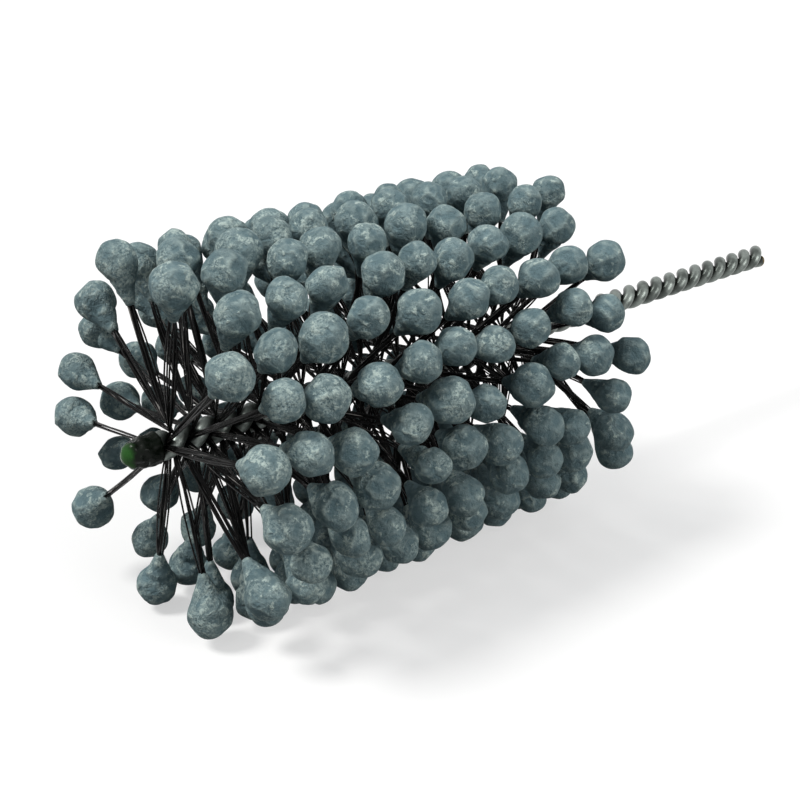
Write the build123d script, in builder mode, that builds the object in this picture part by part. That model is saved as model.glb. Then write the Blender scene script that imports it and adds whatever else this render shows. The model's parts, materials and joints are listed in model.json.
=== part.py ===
from build123d import *
from itertools import combinations
from math import acos, atan2, cos, floor, hypot, pi, radians, sin, sqrt
from random import Random
import os

os.makedirs("parts", exist_ok=True)

# A flexible ball hone: abrasive balls on nylon filaments that leave a stem of two twisted wires.
# Lengths are in millimetres. The tool axis is X, the origin is the sawn shank end, the tip is at +X.

# Whole tool
overall_length = 234.0
head_length = 127.0
head_diameter = 95.0
bore_diameter = 89.0
tip_reach = 5.0

# Abrasive balls
ball_diameter = 10.2
ball_variation = 0.11
ball_room = 2.2
ball_gap = 0.3
ball_scatter = 1.9
scatter_reach = 3.4
radial_scatter = 0.5
parting_step = 0.02
parting_passes = 60
neck_reach = 11.0
neck_diameter = 2.6
scatter_seed = 184
size_seed = 547436

# Stem wires
wire_diameter = 3.5
wire_gap = 0.1

# Nylon filaments
filament_diameter = 0.5
filaments_per_ball = 3
filament_gap = 0.05
filament_spread = 0.55
filament_end_gap = 0.05

# Dipped tip
cap_wall = 0.4
cap_fit = 0.05
cap_to_filament = 1.0
cap_grip = 4.0
cap_nose_diameter = 5.6

# How far the tool is rolled about its axis as it lies, in degrees from +Y to the first row of balls
roll = 10.0

# Places that follow from the sizes above
stem_diameter = 2 * wire_diameter + wire_gap
wire_offset = (wire_diameter + wire_gap) / 2
ball_circle_radius = (head_diameter - ball_diameter) / 2
press_travel = (head_diameter - bore_diameter) / 2
first_ball_x = overall_length - tip_reach - ball_diameter / 2
cap_back = first_ball_x + cap_to_filament
wire_end = cap_back + cap_grip - cap_fit

# The balls of one row stand one turn of the twist apart, with some room between them.
twist_pitch = ball_diameter + ball_room


# Each bundle of filaments lies across the stem and carries a ball on either side. With an odd count of
# bundles to a turn the two sides interleave. This is how far apart such neighbours stand when pressed in.
def pressed_spacing(bundles):
    around = pi * (ball_circle_radius - press_travel) / bundles
    along = twist_pitch * (bundles - 1) / 2 / bundles
    return hypot(around, along)


bundles_per_turn = 3
while pressed_spacing(bundles_per_turn + 2) >= twist_pitch:
    bundles_per_turn += 2

row_count = 2 * bundles_per_turn
row_angle = 2 * pi / row_count
bundle_step = twist_pitch / bundles_per_turn
bundle_count = floor((head_length - ball_diameter) / bundle_step) + 1

# Filament roots stand side by side in the groove between the wires, deep enough to meet the wires.
root_step = bundle_step / filaments_per_ball
root_turn = 2 * pi * root_step / twist_pitch
root_radius = sqrt((filament_diameter + filament_gap) ** 2 - root_step**2) / root_turn


def radial(angle):
    return Vector(0, cos(angle), sin(angle))


def tangent(angle):
    return Vector(0, -sin(angle), cos(angle))


# Where one ball sits. It strays from its regular place along the axis and aside.
class Seat:
    def __init__(self, bundle, side):
        self.row = (2 * bundle + bundles_per_turn * side) % row_count
        self.angle = radians(roll) + self.row * row_angle
        self.root_x = first_ball_x - bundle * bundle_step
        self.along = scatter.gauss(0, ball_scatter)
        self.aside = scatter.gauss(0, ball_scatter)
        self.diameter = ball_diameter * (1 + ball_variation * sizes.uniform(-1, 1))
        self.height = (head_diameter - self.diameter) / 2 - radial_scatter * scatter.random()

    def place(self, pressed):
        outward = radial(self.angle) * (self.height - pressed)
        return Vector(self.root_x + self.along, 0, 0) + outward + tangent(self.angle) * self.aside

    def hold_back(self):
        stray = hypot(self.along, self.aside)
        if stray > scatter_reach:
            self.along *= scatter_reach / stray
            self.aside *= scatter_reach / stray

    def move(self, step):
        self.along += step.X
        self.aside += step.dot(tangent(self.angle))

    @property
    def centre(self):
        return self.place(0)

    @property
    def direction(self):
        return (self.centre - Vector(self.root_x, 0, 0)).normalized()

    def root(self, index):
        shift = index - (filaments_per_ball - 1) / 2
        angle = self.angle + shift * root_turn
        return Vector(self.root_x - shift * root_step, 0, 0) + radial(angle) * root_radius

    def neck(self, index):
        bearing = pi + 2 * pi * index / filaments_per_ball
        ring = tangent(self.angle) * (filament_spread * cos(bearing))
        ring += Vector(-filament_spread * sin(bearing), 0, 0)
        return self.centre - self.direction * (neck_reach + filament_end_gap) + ring


# Two balls that would touch when their rows are pressed in move apart by what they lack.
def part(one, other):
    between = one.place(press_travel) - other.place(press_travel)
    lack = (one.diameter + other.diameter) / 2 + ball_gap - between.length
    if lack <= 0:
        return False
    step = between.normalized() * (lack / 2 + parting_step)
    one.move(step)
    other.move(-step)
    return True


scatter = Random(scatter_seed)
sizes = Random(size_seed)
seats = [Seat(bundle, side) for bundle in range(bundle_count) for side in (0, 1)]
rows = [[seat for seat in seats if seat.row == row] for row in range(row_count)]

touching_reach = ball_diameter * (1 + ball_variation) + ball_gap + 2 * scatter_reach
pairs = [pair for pair in combinations(seats, 2) if pair[0].root_x - pair[1].root_x < touching_reach]
for _ in range(parting_passes):
    for seat in seats:
        seat.hold_back()
    if not any([part(one, other) for one, other in pairs]):
        break


# The wires are twisted left-handed and lie a half turn apart. Filaments leave at right angles to them.
turns_to_shank = floor(first_ball_x / twist_pitch) + 2
wire_start = first_ball_x - turns_to_shank * twist_pitch

with BuildPart() as twisted_wire:
    with BuildLine():
        centreline = Helix(
            pitch=twist_pitch,
            height=overall_length - wire_start,
            radius=wire_offset,
            center=(wire_start, 0, 0),
            direction=(1, 0, 0),
            lefthand=True,
        )
    with BuildSketch(Plane(origin=centreline @ 0, z_dir=centreline % 0)):
        Circle(wire_diameter / 2)
    sweep(path=centreline, is_frenet=True)
    split(bisect_by=Plane.YZ, keep=Keep.TOP)
    split(bisect_by=Plane.YZ.offset(wire_end), keep=Keep.BOTTOM)

for name, half_turn in (("stem_wire_a", 0), ("stem_wire_b", 180)):
    with BuildPart() as stem_wire:
        add(twisted_wire.part.rotate(Axis.X, roll + half_turn))
    stem_wire.part.label = name
    export_step(stem_wire.part, f"parts/{name}.step")

# The tip is dipped in plastic: a thin sleeve over the wire ends with a blunt solid nose in front.
cap_bore_radius = stem_diameter / 2 + cap_fit
cap_radius = cap_bore_radius + cap_wall
cap_nose_radius = cap_nose_diameter / 2
cap_nose_x = overall_length - cap_nose_radius

with BuildPart() as tip_cap:
    with BuildSketch(Plane.XY):
        with BuildLine():
            Polyline(
                (cap_nose_x, cap_nose_radius),
                (cap_back + cap_grip, cap_radius),
                (cap_back, cap_radius),
                (cap_back, cap_bore_radius),
                (cap_back + cap_grip, cap_bore_radius),
                (cap_back + cap_grip, 0),
                (overall_length, 0),
            )
            RadiusArc((overall_length, 0), (cap_nose_x, cap_nose_radius), -cap_nose_radius)
        make_face()
    revolve(axis=Axis.X)
tip_cap.part.label = "tip_cap"
export_step(tip_cap.part, "parts/tip_cap.step")


# Half outline of a ball with its neck, drawn from the neck's end at -X to the crown at +X.
# The cone of the neck runs tangent into the round of the ball.
def ball_outline(diameter):
    radius = diameter / 2
    neck_radius = neck_diameter / 2
    reach = hypot(neck_reach, neck_radius)
    touch_angle = atan2(neck_radius, -neck_reach) - acos(radius / reach)
    touch = (radius * cos(touch_angle), radius * sin(touch_angle))
    Polyline(touch, (-neck_reach, neck_radius), (-neck_reach, 0), (radius, 0))
    RadiusArc((radius, 0), touch, -radius)


# Each row of balls is one node, and so are the filaments that carry it.
for row, row_seats in enumerate(rows):
    number = f"{row + 1:02d}"

    with BuildPart() as ball_row:
        for seat in row_seats:
            across = seat.direction.cross(Vector(1, 0, 0))
            seat_plane = Plane(origin=seat.centre, x_dir=seat.direction, z_dir=across)
            with BuildSketch(seat_plane):
                with BuildLine():
                    ball_outline(seat.diameter)
                make_face()
            revolve(axis=Axis(seat.centre, seat.direction))
    ball_row.part.label = f"ball_row_{number}"
    export_step(ball_row.part, f"parts/ball_row_{number}.step")

    with BuildPart() as filament_row:
        for seat in row_seats:
            for index in range(filaments_per_ball):
                run = seat.neck(index) - seat.root(index)
                with BuildSketch(Plane(origin=seat.root(index), z_dir=run)):
                    Circle(filament_diameter / 2)
                extrude(amount=run.length)
    filament_row.part.label = f"filament_row_{number}"
    export_step(filament_row.part, f"parts/filament_row_{number}.step")
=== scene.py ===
import bpy
import json
import math
import random
import numpy as np
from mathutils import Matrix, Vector, noise


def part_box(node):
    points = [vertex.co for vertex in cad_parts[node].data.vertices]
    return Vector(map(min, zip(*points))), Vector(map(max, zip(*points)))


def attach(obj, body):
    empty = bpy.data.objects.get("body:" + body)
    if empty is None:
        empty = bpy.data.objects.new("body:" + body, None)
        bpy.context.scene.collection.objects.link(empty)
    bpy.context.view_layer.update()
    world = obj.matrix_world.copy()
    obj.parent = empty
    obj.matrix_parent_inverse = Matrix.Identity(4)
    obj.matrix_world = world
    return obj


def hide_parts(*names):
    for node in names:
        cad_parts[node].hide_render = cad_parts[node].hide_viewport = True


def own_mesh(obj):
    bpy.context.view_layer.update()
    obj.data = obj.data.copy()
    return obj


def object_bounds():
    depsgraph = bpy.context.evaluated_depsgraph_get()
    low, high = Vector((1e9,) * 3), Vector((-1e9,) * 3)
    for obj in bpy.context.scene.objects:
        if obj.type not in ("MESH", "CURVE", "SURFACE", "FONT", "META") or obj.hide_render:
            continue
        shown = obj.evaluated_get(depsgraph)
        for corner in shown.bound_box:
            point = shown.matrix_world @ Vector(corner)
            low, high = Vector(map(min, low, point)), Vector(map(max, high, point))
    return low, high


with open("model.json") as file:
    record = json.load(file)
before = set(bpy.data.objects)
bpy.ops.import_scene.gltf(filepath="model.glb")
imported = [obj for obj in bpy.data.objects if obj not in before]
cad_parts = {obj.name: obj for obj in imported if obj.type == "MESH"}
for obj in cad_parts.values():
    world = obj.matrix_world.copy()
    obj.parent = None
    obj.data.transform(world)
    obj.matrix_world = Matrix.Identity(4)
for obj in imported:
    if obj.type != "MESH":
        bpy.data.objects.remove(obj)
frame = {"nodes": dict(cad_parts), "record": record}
cad_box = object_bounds()
bpy.context.scene.view_settings.view_transform = "Standard"

MM = 0.001
WHITE = (1.0, 1.0, 1.0, 1.0)

# Camera, solved from the balls, the tip, the stem and the shank end in the photograph
CAMERA_PLACE = (0.3700, 0.2515, 0.1316)
CAMERA_TARGET = (0.1524, 0.0, -0.0084)
CAMERA_LENS = 62.65
CAMERA_SENSOR = 36.0
CAMERA_CLIP = 0.01

# Light. The sky goes from dim at the horizon to bright overhead. Softness is a lamp's angle in degrees.
SKY_COLOUR = (0.96, 0.985, 1.0, 1.0)
SKY_LIGHT = (0.06, 0.68)
LAMP_COLOUR = (1.0, 0.99, 0.97)
SUN_DIRECTION = (-0.51, 0.25, -0.82)
SUN_STRENGTH = 2.7
SUN_SOFTNESS = 20.0
FILL_DIRECTION = (0.25, -0.88, -0.42)
FILL_STRENGTH = 1.3
FILL_SOFTNESS = 34.0

# Floor. Its glow is only seen, and makes it white outside the tool's shadow.
FLOOR_HALF = 3.0
FLOOR_COLOUR = (0.42, 0.42, 0.42, 1.0)
FLOOR_GLOW = 0.54
FLOOR_BOUNCE = (0.16, 0.16, 0.16, 1.0)

# Reading the CAD solids: the grid on which vertices count as one, how far outward a neck's end ring reaches,
# from which shares of a ball's length, counted from its crown, its radius is measured, and how near to a neck
# its own filaments end
MERGE_STEP = 1e-6
NECK_RING_DEPTH = 0.5 * MM
ROUND_SHARES = (0.1, 0.35)
OWN_STRAND_REACH = 1.5 * MM

# Form of a ball: a teardrop whose neck is a share of the solid's neck. All balls stay in the head's cylinder.
BALL_SEED = 11
BALL_GRID = 18
GRID_DECIMALS = 6
NECK_SHARES = (0.80, 1.0)
NECK_RADIUS = 0.95 * MM
NECK_HOLLOW = 0.05
HEAD_RADIUS = 47.45 * MM

# What makes a ball uneven: lumps, pimples in rough regions, and crumbs. The sink is how far lumps lie inward.
NOISE_SPAN = 50
LUMP_SIZE = 4.2 * MM
LUMP_HEIGHT = 0.62 * MM
LUMP_SINK = 0.16
PIMPLE_SIZE = 1.6 * MM
PIMPLE_HEIGHT = 0.24 * MM
ROUGH_SIZE = 6.0 * MM
ROUGH_GAIN = 2
ROUGH_LEVEL = 0.4
ROUGH_LEAST = 0.15
CRUMBS_PER_BALL = (0, 4)
CRUMB_SIZE = 0.8 * MM
CRUMB_SIZE_SHARES = (0.7, 1.3)
CRUMB_HEIGHT = 0.34 * MM
CRUMB_HEIGHT_SHARES = (0.5, 1.2)

# No place swells by more than this, so that neighbours stay apart, and it swells less towards the neck.
SWELL_MOST = 0.14 * MM
SWELL_SOFTNESS = 0.04 * MM
SWELL_FADE_REACH = 0.6
SWELL_FADE_LEAST = 0.25

# Flats and squeeze of a ball, as shares of its radius
FLATS_PER_BALL = 8
FLAT_DEPTH = (0.03, 0.14)
FLAT_SOFTNESS = 0.012
FLAT_SHARE = 0.9
FLAT_LOWEST = -0.9
SQUEEZE = (0.0, 0.15)

# Form of the filaments. Each reaches into its ball, and the extra ones start between the CAD's own roots. None
# runs along the off-axis direction, from which the sides of a strand are found.
FILAMENT_SEED = 1100
FILAMENT_RADIUS = 0.22 * MM
FILAMENT_SIDES = 6
FILAMENT_RINGS = 7
FILAMENT_BOW = 0.45 * MM
FILAMENT_IN_BALL = 5.0 * MM
IN_BALL_SHARES = (0.6, 1.0)
EXTRA_FILAMENTS = (4, 7)
EXTRA_SPREAD = 0.35 * MM
OFF_AXIS = (1.0, 0.3, 0.1)

# Form of the dipped tip: a straight barrel up to a share of its length, then a blunt nose with deeper dents
TIP_RINGS = 26
TIP_SIDES = 40
TIP_BARREL = 0.38
TIP_BLUNTNESS = 2.4
TIP_BACK_SHARE = 0.93
TIP_LUMP_SIZE = 2.0 * MM
TIP_LUMP_DEPTH = (0.4 * MM, 1.0 * MM)
TIP_LUMP_RISE = 3
TIP_LUMP_LEVEL = 0.5
TIP_NOISE_OFFSET = (3, 1, 7)

# Colours, linear
SLATE_DARK = (0.087, 0.138, 0.153, 1.0)
SLATE_LIGHT = (0.137, 0.207, 0.227, 1.0)
SLATE_PIT = (0.025, 0.040, 0.042, 1.0)
# pale dust, which on sharp edges is also a painted sheen
SLATE_DUST_AND_SHEEN = (0.440, 0.530, 0.500, 1.0)
NYLON_BLACK = (0.002, 0.002, 0.002, 1.0)
NYLON_GREY = (0.006, 0.006, 0.006, 1.0)
# pale streaks on the strands: partly wear marks, partly painted glints
NYLON_WEAR_AND_GLINT = (0.24, 0.23, 0.22, 1.0)
STEEL_DARK = (0.080, 0.092, 0.085, 1.0)
STEEL_LIGHT = (0.210, 0.236, 0.220, 1.0)
STEEL_STAIN = (0.07, 0.085, 0.075, 1.0)
# painted shade in the grooves between the wires
STEEL_GROOVE_SHADE = (0.018, 0.022, 0.019, 1.0)
STEEL_RUST = (0.30, 0.20, 0.08, 1.0)
TIP_DARK = (0.002, 0.004, 0.002, 1.0)
# painted light: the lit green of the tip's nose
TIP_PAINTED_LIT_GREEN = (0.020, 0.085, 0.015, 1.0)

# Below, a noise is given as its scale in features to the metre, its detail, roughness and distortion. A range
# is what a value passes through while its layer fades in, or out where the first number is the larger. A bump
# is its strength and depth.

# Abrasive: slate with pits, and dust in patches and on the crust's crests, more of it near the tip, and a pale
# rim on sharp edges that is partly dust and partly a painted sheen
REGION_NOISE = (45.0, 1.0)
BROAD_NOISE = (140.0, 3.0)
PATCH_NOISE = (210.0, 3.0, 0.5, 0.2)
CRUST_NOISE = (520.0, 4.0, 0.62, 0.25)
GRAIN_NOISE = (1500.0, 5.0, 0.75)
REGION_SHARE = 0.25
DUST_RISE = (110 * MM, 220 * MM)
DUST_GAIN = 0.15
PATCH_RANGE = (0.71, 0.85)
PATCH_GRAIN = (0.43, 0.57)
PATCH_STRENGTH = 0.7
CREST_RANGE = (0.54, 0.60)
CREST_DUSTY = (0.65, 0.75)
CREST_GRAIN = (0.36, 0.50)
# pale sharp edges: partly dust, partly a painted sheen rim
EDGE_RANGE = (0.505, 0.54)
EDGE_CRUST = (0.35, 0.60)
EDGE_STRENGTH = 0.8
SLATE_RANGE = (0.3, 0.7)
PIT_RANGE = (0.43, 0.33)
PIT_STRENGTH = 0.6
DUST_AND_SHEEN_STRENGTH = 0.90
GRAIN_IN_RELIEF = 0.08
ABRASIVE_BUMP = (1.0, 1.1 * MM)
ABRASIVE_ROUGHNESS = (-2.6, 0.9)
ABRASIVE_SPECULAR = 0.15

# Nylon with pale streaks, partly wear marks and partly painted glints: how many of them to a radian around the
# tool, and to the metre along it and outward
NYLON_NOISE = (900.0, 2.0)
STREAK_NOISE = (1.0, 1.0)
STREAKS_AROUND = 60.0
STREAKS_ALONG = 2500.0
STREAK_ENDS = 90.0
STREAK_RANGE = (0.66, 0.70)
NYLON_BUMP = (0.3, 0.05 * MM)
NYLON_ROUGHNESS = (-0.2, 3.6)
NYLON_SPECULAR = 0.12

# Steel wires: near black with painted shade up to the groove's first distance from the axis and free of it
# from the second, stained, and rusty on the sawn end at X = 0
CLOUD_NOISE = (260.0, 4.0)
SCUFF_NOISE = (1500.0, 4.0, 0.65, 0.4)
STEEL_RANGE = (0.40, 0.58)
GROOVE_SHADE_REACH = (2.2 * MM, 3.3 * MM)
STAIN_RANGE = (0.56, 0.70)
STAIN_STRENGTH = 0.5
SAWN_RANGE = (0.5 * MM, 0.0)
RUST_RANGE = (0.40, 0.55)
STEEL_METALLIC = 0.75
STEEL_BUMP = (0.25, 0.08 * MM)
STEEL_ROUGHNESS = (-0.5, 2.5)

# Dipped tip: near black, with painted light making it a lighter green near its end, where the noise puts the
# border
TIP_NOISE = (300.0, 3.0)
TIP_BORDER_SHIFT = 4.0 * MM
TIP_BORDER = (-0.5 * MM, 1.0 * MM)
TIP_BUMP = (0.2, 0.2 * MM)
TIP_ROUGHNESS = (-0.2, 2.6)
TIP_SPECULAR = 0.12


def nodes_named(start):
    return sorted(name for name in frame["nodes"] if name.startswith(start))


def body_of_node(name):
    for body, members in frame["record"]["behaviour"]["bodies"].items():
        if name in members:
            return body
    raise ValueError(name)


class Nodes:
    """A node tree, with short ways to add and join its nodes."""

    def __init__(self, tree):
        self.tree = tree
        tree.nodes.clear()

    def add(self, kind, inputs=None, **settings):
        node = self.tree.nodes.new(kind)
        for name, value in settings.items():
            setattr(node, name, value)
        for name, value in (inputs or {}).items():
            socket = node.inputs[name]
            if isinstance(value, bpy.types.NodeSocket):
                self.tree.links.new(value, socket)
            else:
                socket.default_value = value
        return node

    def combine(self, operation, first, second):
        return self.add("ShaderNodeMath", {0: first, 1: second}, operation=operation).outputs[0]

    def plus(self, first, second):
        return self.combine("ADD", first, second)

    def times(self, first, second):
        return self.combine("MULTIPLY", first, second)

    def larger(self, first, second):
        return self.combine("MAXIMUM", first, second)

    def vector(self, operation, inputs, output="Vector"):
        return self.add("ShaderNodeVectorMath", inputs, operation=operation).outputs[output]

    def mask(self, value, span):
        """0 at the span's first value, 1 at its second."""
        low, high = span
        inputs = {"Value": value, "From Min": low, "From Max": high}
        return self.add("ShaderNodeMapRange", inputs).outputs["Result"]

    def mix(self, factor, first, second):
        return self.add("ShaderNodeMix", {0: factor, 6: first, 7: second}, data_type="RGBA").outputs[2]

    def noise_texture(self, where, settings):
        names = ("Scale", "Detail", "Roughness", "Distortion")
        return self.add("ShaderNodeTexNoise", {"Vector": where, **dict(zip(names, settings))}).outputs["Fac"]

    def bump(self, settings, height):
        strength, distance = settings
        inputs = {"Strength": strength, "Distance": distance, "Height": height}
        return self.add("ShaderNodeBump", inputs).outputs["Normal"]

    def place(self):
        return self.add("ShaderNodeTexCoord").outputs["Object"]

    def split(self, vector):
        return self.add("ShaderNodeSeparateXYZ", {"Vector": vector}).outputs

    def across(self, where):
        """The part of a place that leads away from the tool's axis."""
        split = self.split(where)
        return self.add("ShaderNodeCombineXYZ", {"Y": split["Y"], "Z": split["Z"]}).outputs[0]

    def seen_directly(self):
        """1 for rays from the camera and for those that show a reflection or a view through glass."""
        path = self.add("ShaderNodeLightPath").outputs
        seen = self.larger(path["Is Camera Ray"], path["Is Glossy Ray"])
        return self.larger(seen, path["Is Transmission Ray"])

    def surface(self, inputs):
        shader = self.add("ShaderNodeBsdfPrincipled", inputs)
        self.add("ShaderNodeOutputMaterial", {"Surface": shader.outputs[0]})


def new_material(name):
    material = bpy.data.materials.new(name)
    material.use_nodes = True
    return material, Nodes(material.node_tree)


# Camera, light and floor


def add_camera():
    data = bpy.data.cameras.new("camera")
    data.sensor_width = CAMERA_SENSOR
    data.lens = CAMERA_LENS
    data.clip_start = CAMERA_CLIP
    camera = bpy.data.objects.new("camera", data)
    camera.location = CAMERA_PLACE
    aim = Vector(CAMERA_TARGET) - Vector(CAMERA_PLACE)
    camera.rotation_euler = aim.to_track_quat("-Z", "Y").to_euler()
    bpy.context.scene.collection.objects.link(camera)
    bpy.context.scene.camera = camera


def add_world():
    world = bpy.data.worlds.new("studio")
    world.use_nodes = True
    nodes = Nodes(world.node_tree)
    upward = nodes.split(nodes.add("ShaderNodeTexCoord").outputs["Generated"])["Z"]
    low, high = SKY_LIGHT
    strength = nodes.add("ShaderNodeMapRange", {"Value": upward, "To Min": low, "To Max": high}).outputs[0]
    light = nodes.add("ShaderNodeBackground", {"Color": SKY_COLOUR, "Strength": strength}).outputs[0]
    white = nodes.add("ShaderNodeBackground", {"Color": WHITE, "Strength": 1.0}).outputs[0]
    mix = nodes.add("ShaderNodeMixShader", {"Fac": nodes.seen_directly(), 1: light, 2: white}).outputs[0]
    nodes.add("ShaderNodeOutputWorld", {"Surface": mix})
    bpy.context.scene.world = world


def add_sun(name, direction, strength, softness):
    data = bpy.data.lights.new(name, "SUN")
    data.energy = strength
    data.angle = math.radians(softness)
    data.color = LAMP_COLOUR
    lamp = bpy.data.objects.new(name, data)
    lamp.location = -Vector(direction)
    lamp.rotation_euler = Vector(direction).to_track_quat("-Z", "Y").to_euler()
    bpy.context.scene.collection.objects.link(lamp)


def floor_material():
    material, nodes = new_material("floor")
    bounce = nodes.add("ShaderNodeBsdfDiffuse", {"Color": FLOOR_BOUNCE}).outputs[0]
    lit = nodes.add("ShaderNodeBsdfDiffuse", {"Color": FLOOR_COLOUR}).outputs[0]
    glow = nodes.add("ShaderNodeEmission", {"Color": WHITE, "Strength": FLOOR_GLOW}).outputs[0]
    seen = nodes.add("ShaderNodeAddShader", {0: lit, 1: glow}).outputs[0]
    mix = nodes.add("ShaderNodeMixShader", {"Fac": nodes.seen_directly(), 1: bounce, 2: seen}).outputs[0]
    nodes.add("ShaderNodeOutputMaterial", {"Surface": mix})
    return material


def add_floor():
    low = cad_box[0][2]
    corners = [(x * FLOOR_HALF, y * FLOOR_HALF, low) for x, y in ((-1, -1), (1, -1), (1, 1), (-1, 1))]
    mesh = bpy.data.meshes.new("floor")
    mesh.from_pydata(corners, [], [(0, 1, 2, 3)])
    mesh.materials.append(floor_material())
    floor = bpy.data.objects.new("floor", mesh)
    bpy.context.scene.collection.objects.link(floor)


# Reading the CAD nodes


def loose_parts(name):
    """The vertex places of each separate solid of a CAD node."""
    mesh = frame["nodes"][name].data
    places = np.empty(len(mesh.vertices) * 3)
    mesh.vertices.foreach_get("co", places)
    places = places.reshape(-1, 3)
    keys = np.round(places / MERGE_STEP).astype(np.int64)
    _, first, merged = np.unique(keys, axis=0, return_index=True, return_inverse=True)
    edges = np.empty(len(mesh.edges) * 2, dtype=np.int32)
    mesh.edges.foreach_get("vertices", edges)
    edges = merged.ravel()[edges].reshape(-1, 2)
    label = np.arange(len(first))
    while True:
        lower = np.minimum(label[edges[:, 0]], label[edges[:, 1]])
        before = label.copy()
        np.minimum.at(label, edges[:, 0], lower)
        np.minimum.at(label, edges[:, 1], lower)
        label = label[label]
        if np.array_equal(before, label):
            break
    places = places[first]
    return [places[label == value] for value in np.unique(label)]


def heights(places):
    """Distances from the tool's axis."""
    return np.hypot(places[:, 1], places[:, 2])


class Ball:
    """One ball of a CAD row: its crown, outward direction, radius and neck end, all read from its solid."""

    def __init__(self, places):
        height = heights(places)
        self.neck = places[height < height.min() + NECK_RING_DEPTH].mean(axis=0)
        self.crown = places[np.argmax(np.linalg.norm(places - self.neck, axis=1))]
        self.length = np.linalg.norm(self.crown - self.neck)
        self.direction = (self.crown - self.neck) / self.length
        depth = (self.crown - places) @ self.direction
        low, high = ROUND_SHARES
        round_part = (depth > low * self.length) & (depth < high * self.length)
        reach = np.linalg.norm(self.crown - places, axis=1)
        self.radius = np.median(reach[round_part] ** 2 / (2 * depth[round_part]))
        self.centre = self.crown - self.radius * self.direction
        side = np.cross(self.direction, (1.0, 0.0, 0.0))
        self.side = side / np.linalg.norm(side)
        self.other_side = np.cross(self.direction, self.side)


def strand_ends(name):
    """Root and far end of each CAD filament of a row."""
    ends = []
    for places in loose_parts(name):
        height = heights(places)
        middle = (height.min() + height.max()) / 2
        ends.append((places[height < middle].mean(axis=0), places[height > middle].mean(axis=0)))
    return ends


# Meshes


def mesh_piece(name, places, faces, material):
    """A smooth closed piece, whose faces with more than four corners are flat ends."""
    mesh = bpy.data.meshes.new(name)
    mesh.from_pydata(places, [], faces)
    mesh.materials.append(material)
    mesh.polygons.foreach_set("use_smooth", [len(polygon.vertices) <= 4 for polygon in mesh.polygons])
    mesh.update()
    piece = bpy.data.objects.new(name, mesh)
    bpy.context.scene.collection.objects.link(piece)
    return piece


def ring_places(centre, radius, side, other, sides):
    angles = 2 * math.pi * np.arange(sides)[:, None] / sides
    return centre + radius * (np.cos(angles) * side + np.sin(angles) * other)


def ring_faces(rings, sides):
    """The faces of a tube's wall and of the end where it starts."""
    faces = []
    for ring in range(rings - 1):
        for step in range(sides):
            here = ring * sides + step
            beside = ring * sides + (step + 1) % sides
            faces.append((here, beside, beside + sides, here + sides))
    return faces + [tuple(range(sides))[::-1]]


def ball_grid(count):
    """Unit directions of a cube's grid blown up to a sphere, and its faces."""
    steps = np.tan(np.linspace(-1, 1, count + 1) * math.pi / 4)
    places = []
    faces = []
    for axis in range(3):
        for sign in (-1, 1):
            start = len(places)
            for a in steps:
                for b in steps:
                    place = [0.0, 0.0, 0.0]
                    place[axis] = sign
                    place[(axis + 1) % 3] = a
                    place[(axis + 2) % 3] = b
                    places.append(place)
            for row in range(count):
                for column in range(count):
                    corner = start + row * (count + 1) + column
                    face = (corner, corner + count + 1, corner + count + 2, corner + 1)
                    faces.append(face if sign > 0 else face[::-1])
    places = np.array(places)
    places /= np.linalg.norm(places, axis=1)[:, None]
    keys = np.round(places, GRID_DECIMALS)
    _, first, merged = np.unique(keys, axis=0, return_index=True, return_inverse=True)
    return places[first], merged.ravel()[np.array(faces)]


def noise_at(places, size, offset):
    """Smooth noise from -1 to 1 at each place, with features of the given size."""
    return np.array([noise.noise(Vector(place / size) + offset) for place in places])


def random_direction(draws):
    return np.array(Vector([draws.gauss(0, 1) for _ in range(3)]).normalized())


# Balls


def teardrop(ball, share, neck_length, neck_radius):
    """Height and half width of the ball's outline at a share of the way from its crown to its neck's end."""
    radius = ball.radius
    reach = math.hypot(neck_length, neck_radius)
    touch = math.pi - math.atan2(neck_radius, neck_length) - math.acos(radius / reach)
    slope_length = math.sqrt(reach**2 - radius**2)
    way = share * (radius * touch + slope_length + neck_radius)
    angle = np.clip(way / radius, 0, touch)
    down = np.clip((way - radius * touch) / slope_length, 0, 1)
    inward = np.clip((way - radius * touch - slope_length) / neck_radius, 0, 1)
    touch_height = radius * math.cos(touch)
    touch_width = radius * math.sin(touch)
    hollow = NECK_HOLLOW * np.sin(down * math.pi) * radius
    slope_height = touch_height - (neck_length + touch_height) * down
    slope_width = touch_width + (neck_radius - touch_width) * down
    height = np.where(down > 0, slope_height, radius * np.cos(angle))
    width = np.where(down > 0, slope_width, radius * np.sin(angle)) - hollow
    return height, width * (1 - inward)


def swelling(ball, local, draws):
    """How far each place of a ball stands out: lumps, pimples in its rough regions, and a few crumbs."""
    offset = Vector([draws.uniform(-NOISE_SPAN, NOISE_SPAN) for _ in range(3)])
    swell = LUMP_HEIGHT * (noise_at(local, LUMP_SIZE, offset) - LUMP_SINK)
    rough = np.clip(noise_at(local, ROUGH_SIZE, offset) * ROUGH_GAIN + ROUGH_LEVEL, ROUGH_LEAST, 1)
    swell += PIMPLE_HEIGHT * rough * noise_at(local, PIMPLE_SIZE, offset)
    for _ in range(draws.randint(*CRUMBS_PER_BALL)):
        spot = local[draws.randrange(len(local))]
        near = np.linalg.norm(local - spot, axis=1) / (CRUMB_SIZE * draws.uniform(*CRUMB_SIZE_SHARES))
        swell += CRUMB_HEIGHT * draws.uniform(*CRUMB_HEIGHT_SHARES) * np.exp(-(near**2))
    return -SWELL_SOFTNESS * np.logaddexp(-swell / SWELL_SOFTNESS, -SWELL_MOST / SWELL_SOFTNESS)


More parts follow.
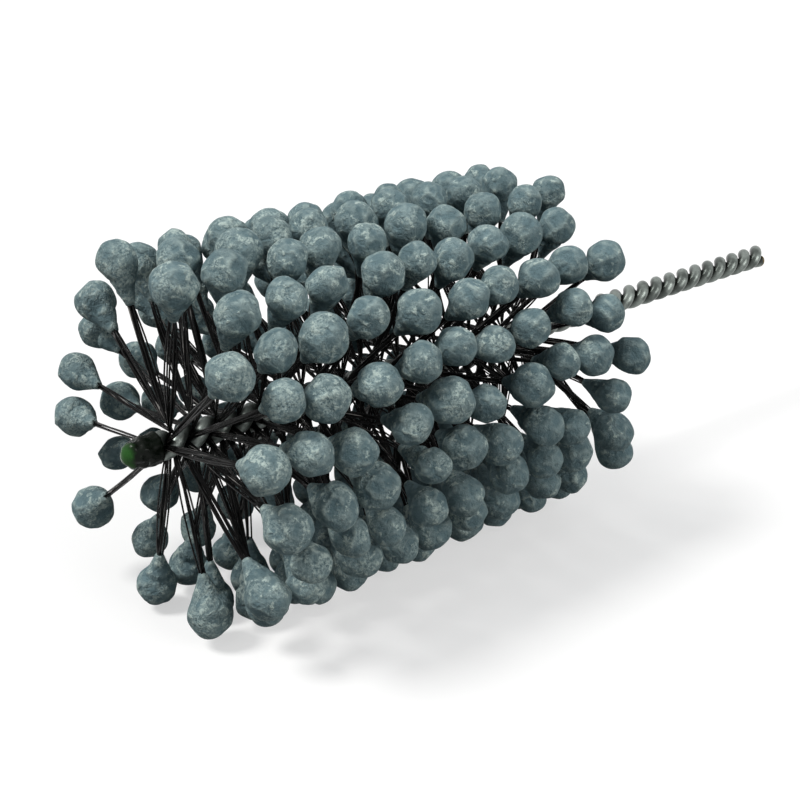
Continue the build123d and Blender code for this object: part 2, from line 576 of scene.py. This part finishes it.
def ball_places(ball, grid, draws):
    share = np.arccos(np.clip(grid[:, 2], -1, 1)) / math.pi
    neck_length = (ball.length - ball.radius) * draws.uniform(*NECK_SHARES)
    height, width = teardrop(ball, share, neck_length, NECK_RADIUS)
    around = np.hypot(grid[:, 0], grid[:, 1])
    around[around == 0] = 1
    local = np.column_stack([grid[:, 0] / around * width, grid[:, 1] / around * width, height])

    outward = local / np.linalg.norm(local, axis=1)[:, None]
    fade = np.clip(width / (SWELL_FADE_REACH * ball.radius), SWELL_FADE_LEAST, 1)
    local += outward * (swelling(ball, local, draws) * fade)[:, None]
    soft = FLAT_SOFTNESS * ball.radius
    for _ in range(FLATS_PER_BALL):
        flat = random_direction(draws)
        over = local @ flat - ball.radius * (1 - draws.uniform(*FLAT_DEPTH))
        cut = FLAT_SHARE * soft * np.logaddexp(0, over / soft)
        local -= flat * (cut * (local[:, 2] > FLAT_LOWEST * ball.radius))[:, None]
    squeezed = random_direction(draws)
    amount = draws.uniform(*SQUEEZE) * np.clip(1 + local[:, 2] / ball.radius, 0, 1)
    local -= squeezed * (amount * (local @ squeezed))[:, None]
    return ball.centre + local @ np.array([ball.side, ball.other_side, ball.direction])


def hold_inside(places):
    """Trims what would stand proud of the head, so that the crowns lie on one cylinder."""
    shrink = np.minimum(1, HEAD_RADIUS / np.maximum(heights(places), HEAD_RADIUS / 2))
    places[:, 1:] *= shrink[:, None]
    return places


def add_ball_row(name, sphere, material):
    number = name.rsplit("_", 1)[1]
    draws = random.Random(BALL_SEED + int(number))
    grid, grid_faces = sphere
    balls = [Ball(places) for places in loose_parts(name)]
    places = hold_inside(np.concatenate([ball_places(ball, grid, draws) for ball in balls]))
    faces = np.concatenate([grid_faces + index * len(grid) for index in range(len(balls))])
    piece = mesh_piece(f"abrasive_balls_{number}", places.tolist(), faces.tolist(), material)
    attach(piece, body_of_node(name))
    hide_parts(name)
    return balls


# Filaments


def strand(root, end, bow):
    """A round strand, bowed a little to one side, with closed ends."""
    share = np.linspace(0, 1, FILAMENT_RINGS)[:, None]
    path = root + (end - root) * share + bow * np.sin(share * math.pi)
    run = path[-1] - path[0]
    run /= np.linalg.norm(run)
    side = np.cross(run, OFF_AXIS)
    side /= np.linalg.norm(side)
    other = np.cross(run, side)
    rings = [ring_places(point, FILAMENT_RADIUS, side, other, FILAMENT_SIDES) for point in path]
    places = np.concatenate(rings)
    far_end = tuple(range(len(places) - FILAMENT_SIDES, len(places)))
    return places, ring_faces(FILAMENT_RINGS, FILAMENT_SIDES) + [far_end]


def add_filament_row(name, balls, material):
    number = name.rsplit("_", 1)[1]
    draws = random.Random(FILAMENT_SEED + int(number))
    strands = strand_ends(name)
    places = []
    faces = []

    def add_strand(root, end, ball):
        bow = np.array([draws.gauss(0, 1) for _ in range(3)]) * FILAMENT_BOW
        inner = end + ball.direction * FILAMENT_IN_BALL * draws.uniform(*IN_BALL_SHARES)
        new_places, new_faces = strand(root, inner, bow)
        faces.extend(tuple(len(places) + corner for corner in face) for face in new_faces)
        places.extend(new_places.tolist())

    for ball in balls:
        own = [ends for ends in strands if np.linalg.norm(ends[1] - ball.neck) < OWN_STRAND_REACH]
        for root, end in own:
            add_strand(root, end, ball)
        for _ in range(draws.randint(*EXTRA_FILAMENTS)):
            first, second = draws.sample(own, 2)
            root = first[0] + (second[0] - first[0]) * draws.random()
            spread = np.array([draws.gauss(0, 1) for _ in range(3)]) * EXTRA_SPREAD
            add_strand(root, ball.neck + spread, ball)

    piece = mesh_piece(f"filaments_{number}", places, faces, material)
    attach(piece, "stem")
    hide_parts(name)
    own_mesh(piece)


# Dipped tip


def add_tip(name, material):
    """A closed blunt cap over the wire ends, as uneven as dipped plastic sets."""
    low, high = (Vector(corner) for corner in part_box(name))
    radius = high.z
    share = np.linspace(0, 1, TIP_RINGS)[:-1]
    nose = np.clip((share - TIP_BARREL) / (1 - TIP_BARREL), 0, 1)
    width = radius * np.sqrt(1 - nose**TIP_BLUNTNESS)
    width[0] = radius * TIP_BACK_SHARE
    along = np.array([(low.x + (high.x - low.x) * one, 0, 0) for one in share])
    side = np.array((0, 1, 0))
    other = np.array((0, 0, 1))
    places = np.concatenate([ring_places(*ring, side, other, TIP_SIDES) for ring in zip(along, width)])
    shallow, deep = TIP_LUMP_DEPTH
    depth = np.repeat(shallow + (deep - shallow) * np.clip(TIP_LUMP_RISE * nose, 0, 1), TIP_SIDES)
    lumps = noise_at(places, TIP_LUMP_SIZE, Vector(TIP_NOISE_OFFSET))
    dent = np.clip(TIP_LUMP_LEVEL + lumps, 0, 1) * depth
    places[:, 1:] *= (1 - dent / radius)[:, None]
    apex = len(places)
    last = apex - TIP_SIDES
    faces = ring_faces(len(share), TIP_SIDES)
    faces += [(last + step, last + (step + 1) % TIP_SIDES, apex) for step in range(TIP_SIDES)]
    piece = mesh_piece("dipped_tip", places.tolist() + [(high.x, 0, 0)], faces, material)
    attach(piece, "stem")
    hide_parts(name)


# Materials


def abrasive_material():
    material, nodes = new_material("abrasive_stone")
    where = nodes.place()
    region = nodes.noise_texture(where, REGION_NOISE)
    broad = nodes.noise_texture(where, BROAD_NOISE)
    patch = nodes.noise_texture(where, PATCH_NOISE)
    crust = nodes.noise_texture(where, CRUST_NOISE)
    grain = nodes.noise_texture(where, GRAIN_NOISE)
    near_tip = nodes.times(nodes.mask(nodes.split(where)["X"], DUST_RISE), DUST_GAIN)
    dusty = nodes.plus(nodes.plus(patch, nodes.times(region, REGION_SHARE)), near_tip)
    patches = nodes.times(nodes.mask(dusty, PATCH_RANGE), nodes.mask(grain, PATCH_GRAIN))
    crests = nodes.times(nodes.mask(crust, CREST_RANGE), nodes.mask(dusty, CREST_DUSTY))
    crests = nodes.times(crests, nodes.mask(grain, CREST_GRAIN))
    # pale rim on sharp edges: partly dust, partly a painted sheen
    pointiness = nodes.add("ShaderNodeNewGeometry").outputs["Pointiness"]
    edges = nodes.times(nodes.mask(pointiness, EDGE_RANGE), nodes.mask(crust, EDGE_CRUST))
    dust_and_sheen = nodes.larger(nodes.times(patches, PATCH_STRENGTH), crests)
    dust_and_sheen = nodes.larger(dust_and_sheen, nodes.times(edges, EDGE_STRENGTH))
    slate = nodes.mix(nodes.mask(broad, SLATE_RANGE), SLATE_DARK, SLATE_LIGHT)
    slate = nodes.mix(nodes.times(nodes.mask(grain, PIT_RANGE), PIT_STRENGTH), slate, SLATE_PIT)
    relief = nodes.plus(crust, nodes.times(grain, GRAIN_IN_RELIEF))
    nodes.surface(
        {
            "Base Color": nodes.mix(nodes.times(dust_and_sheen, DUST_AND_SHEEN_STRENGTH), slate, SLATE_DUST_AND_SHEEN),
            "Roughness": nodes.mask(broad, ABRASIVE_ROUGHNESS),
            "Normal": nodes.bump(ABRASIVE_BUMP, relief),
            "Specular IOR Level": ABRASIVE_SPECULAR,
        }
    )
    return material


def strand_coordinates(nodes, where):
    """Texture coordinates that change slowly outward, as the strands run, and fast across them."""
    across = nodes.across(where)
    outward = nodes.vector("NORMALIZE", {0: across})
    turned = nodes.vector("SCALE", {0: outward, "Scale": STREAKS_AROUND})
    height = nodes.vector("LENGTH", {0: across}, "Value")
    along = nodes.split(where)["X"]
    shift = nodes.plus(nodes.times(along, STREAKS_ALONG), nodes.times(height, STREAK_ENDS))
    sideways = nodes.add("ShaderNodeCombineXYZ", {"X": shift}).outputs[0]
    return nodes.vector("ADD", {0: turned, 1: sideways})


def nylon_material():
    material, nodes = new_material("black_nylon")
    where = nodes.place()
    grain = nodes.noise_texture(where, NYLON_NOISE)
    streak = nodes.noise_texture(strand_coordinates(nodes, where), STREAK_NOISE)
    black = nodes.mix(grain, NYLON_BLACK, NYLON_GREY)
    nodes.surface(
        {
            # pale streaks: partly wear marks, partly painted glints
            "Base Color": nodes.mix(nodes.mask(streak, STREAK_RANGE), black, NYLON_WEAR_AND_GLINT),
            "Roughness": nodes.mask(grain, NYLON_ROUGHNESS),
            "Normal": nodes.bump(NYLON_BUMP, grain),
            "Specular IOR Level": NYLON_SPECULAR,
        }
    )
    return material


def wire_material():
    material, nodes = new_material("stem_steel")
    where = nodes.place()
    cloud = nodes.noise_texture(where, CLOUD_NOISE)
    scuff = nodes.noise_texture(where, SCUFF_NOISE)
    height = nodes.vector("LENGTH", {0: nodes.across(where)}, "Value")
    steel = nodes.mix(nodes.mask(cloud, STEEL_RANGE), STEEL_DARK, STEEL_LIGHT)
    # painted shade: the wires turn near black towards the axis, in the grooves between them
    steel = nodes.mix(nodes.mask(height, GROOVE_SHADE_REACH), STEEL_GROOVE_SHADE, steel)
    steel = nodes.mix(nodes.times(nodes.mask(scuff, STAIN_RANGE), STAIN_STRENGTH), steel, STEEL_STAIN)
    sawn = nodes.mask(nodes.split(where)["X"], SAWN_RANGE)
    nodes.surface(
        {
            "Base Color": nodes.mix(nodes.times(sawn, nodes.mask(scuff, RUST_RANGE)), steel, STEEL_RUST),
            "Metallic": STEEL_METALLIC,
            "Roughness": nodes.mask(cloud, STEEL_ROUGHNESS),
            "Normal": nodes.bump(STEEL_BUMP, scuff),
        }
    )
    return material


def tip_material():
    material, nodes = new_material("dipped_tip")
    where = nodes.place()
    cloud = nodes.noise_texture(where, TIP_NOISE)
    border = nodes.plus(nodes.split(where)["X"], nodes.times(cloud, TIP_BORDER_SHIFT))
    # painted light: the nose is given a lighter green than the near-black barrel
    nose = nodes.mask(border, [cad_box[1][0] + edge for edge in TIP_BORDER])
    nodes.surface(
        {
            "Base Color": nodes.mix(nose, TIP_DARK, TIP_PAINTED_LIT_GREEN),
            "Roughness": nodes.mask(cloud, TIP_ROUGHNESS),
            "Normal": nodes.bump(TIP_BUMP, cloud),
            "Specular IOR Level": TIP_SPECULAR,
        }
    )
    return material


def dress_node(name, material):
    mesh = frame["nodes"][name].data
    mesh.materials.clear()
    mesh.materials.append(material)


add_camera()
add_world()
add_sun("key", SUN_DIRECTION, SUN_STRENGTH, SUN_SOFTNESS)
add_sun("fill", FILL_DIRECTION, FILL_STRENGTH, FILL_SOFTNESS)
add_floor()

abrasive = abrasive_material()
nylon = nylon_material()
steel = wire_material()
for name in nodes_named("stem_wire"):
    dress_node(name, steel)
add_tip("tip_cap", tip_material())
sphere = ball_grid(BALL_GRID)
for name in nodes_named("ball_row"):
    balls = add_ball_row(name, sphere, abrasive)
    add_filament_row(name.replace("ball", "filament"), balls, nylon)
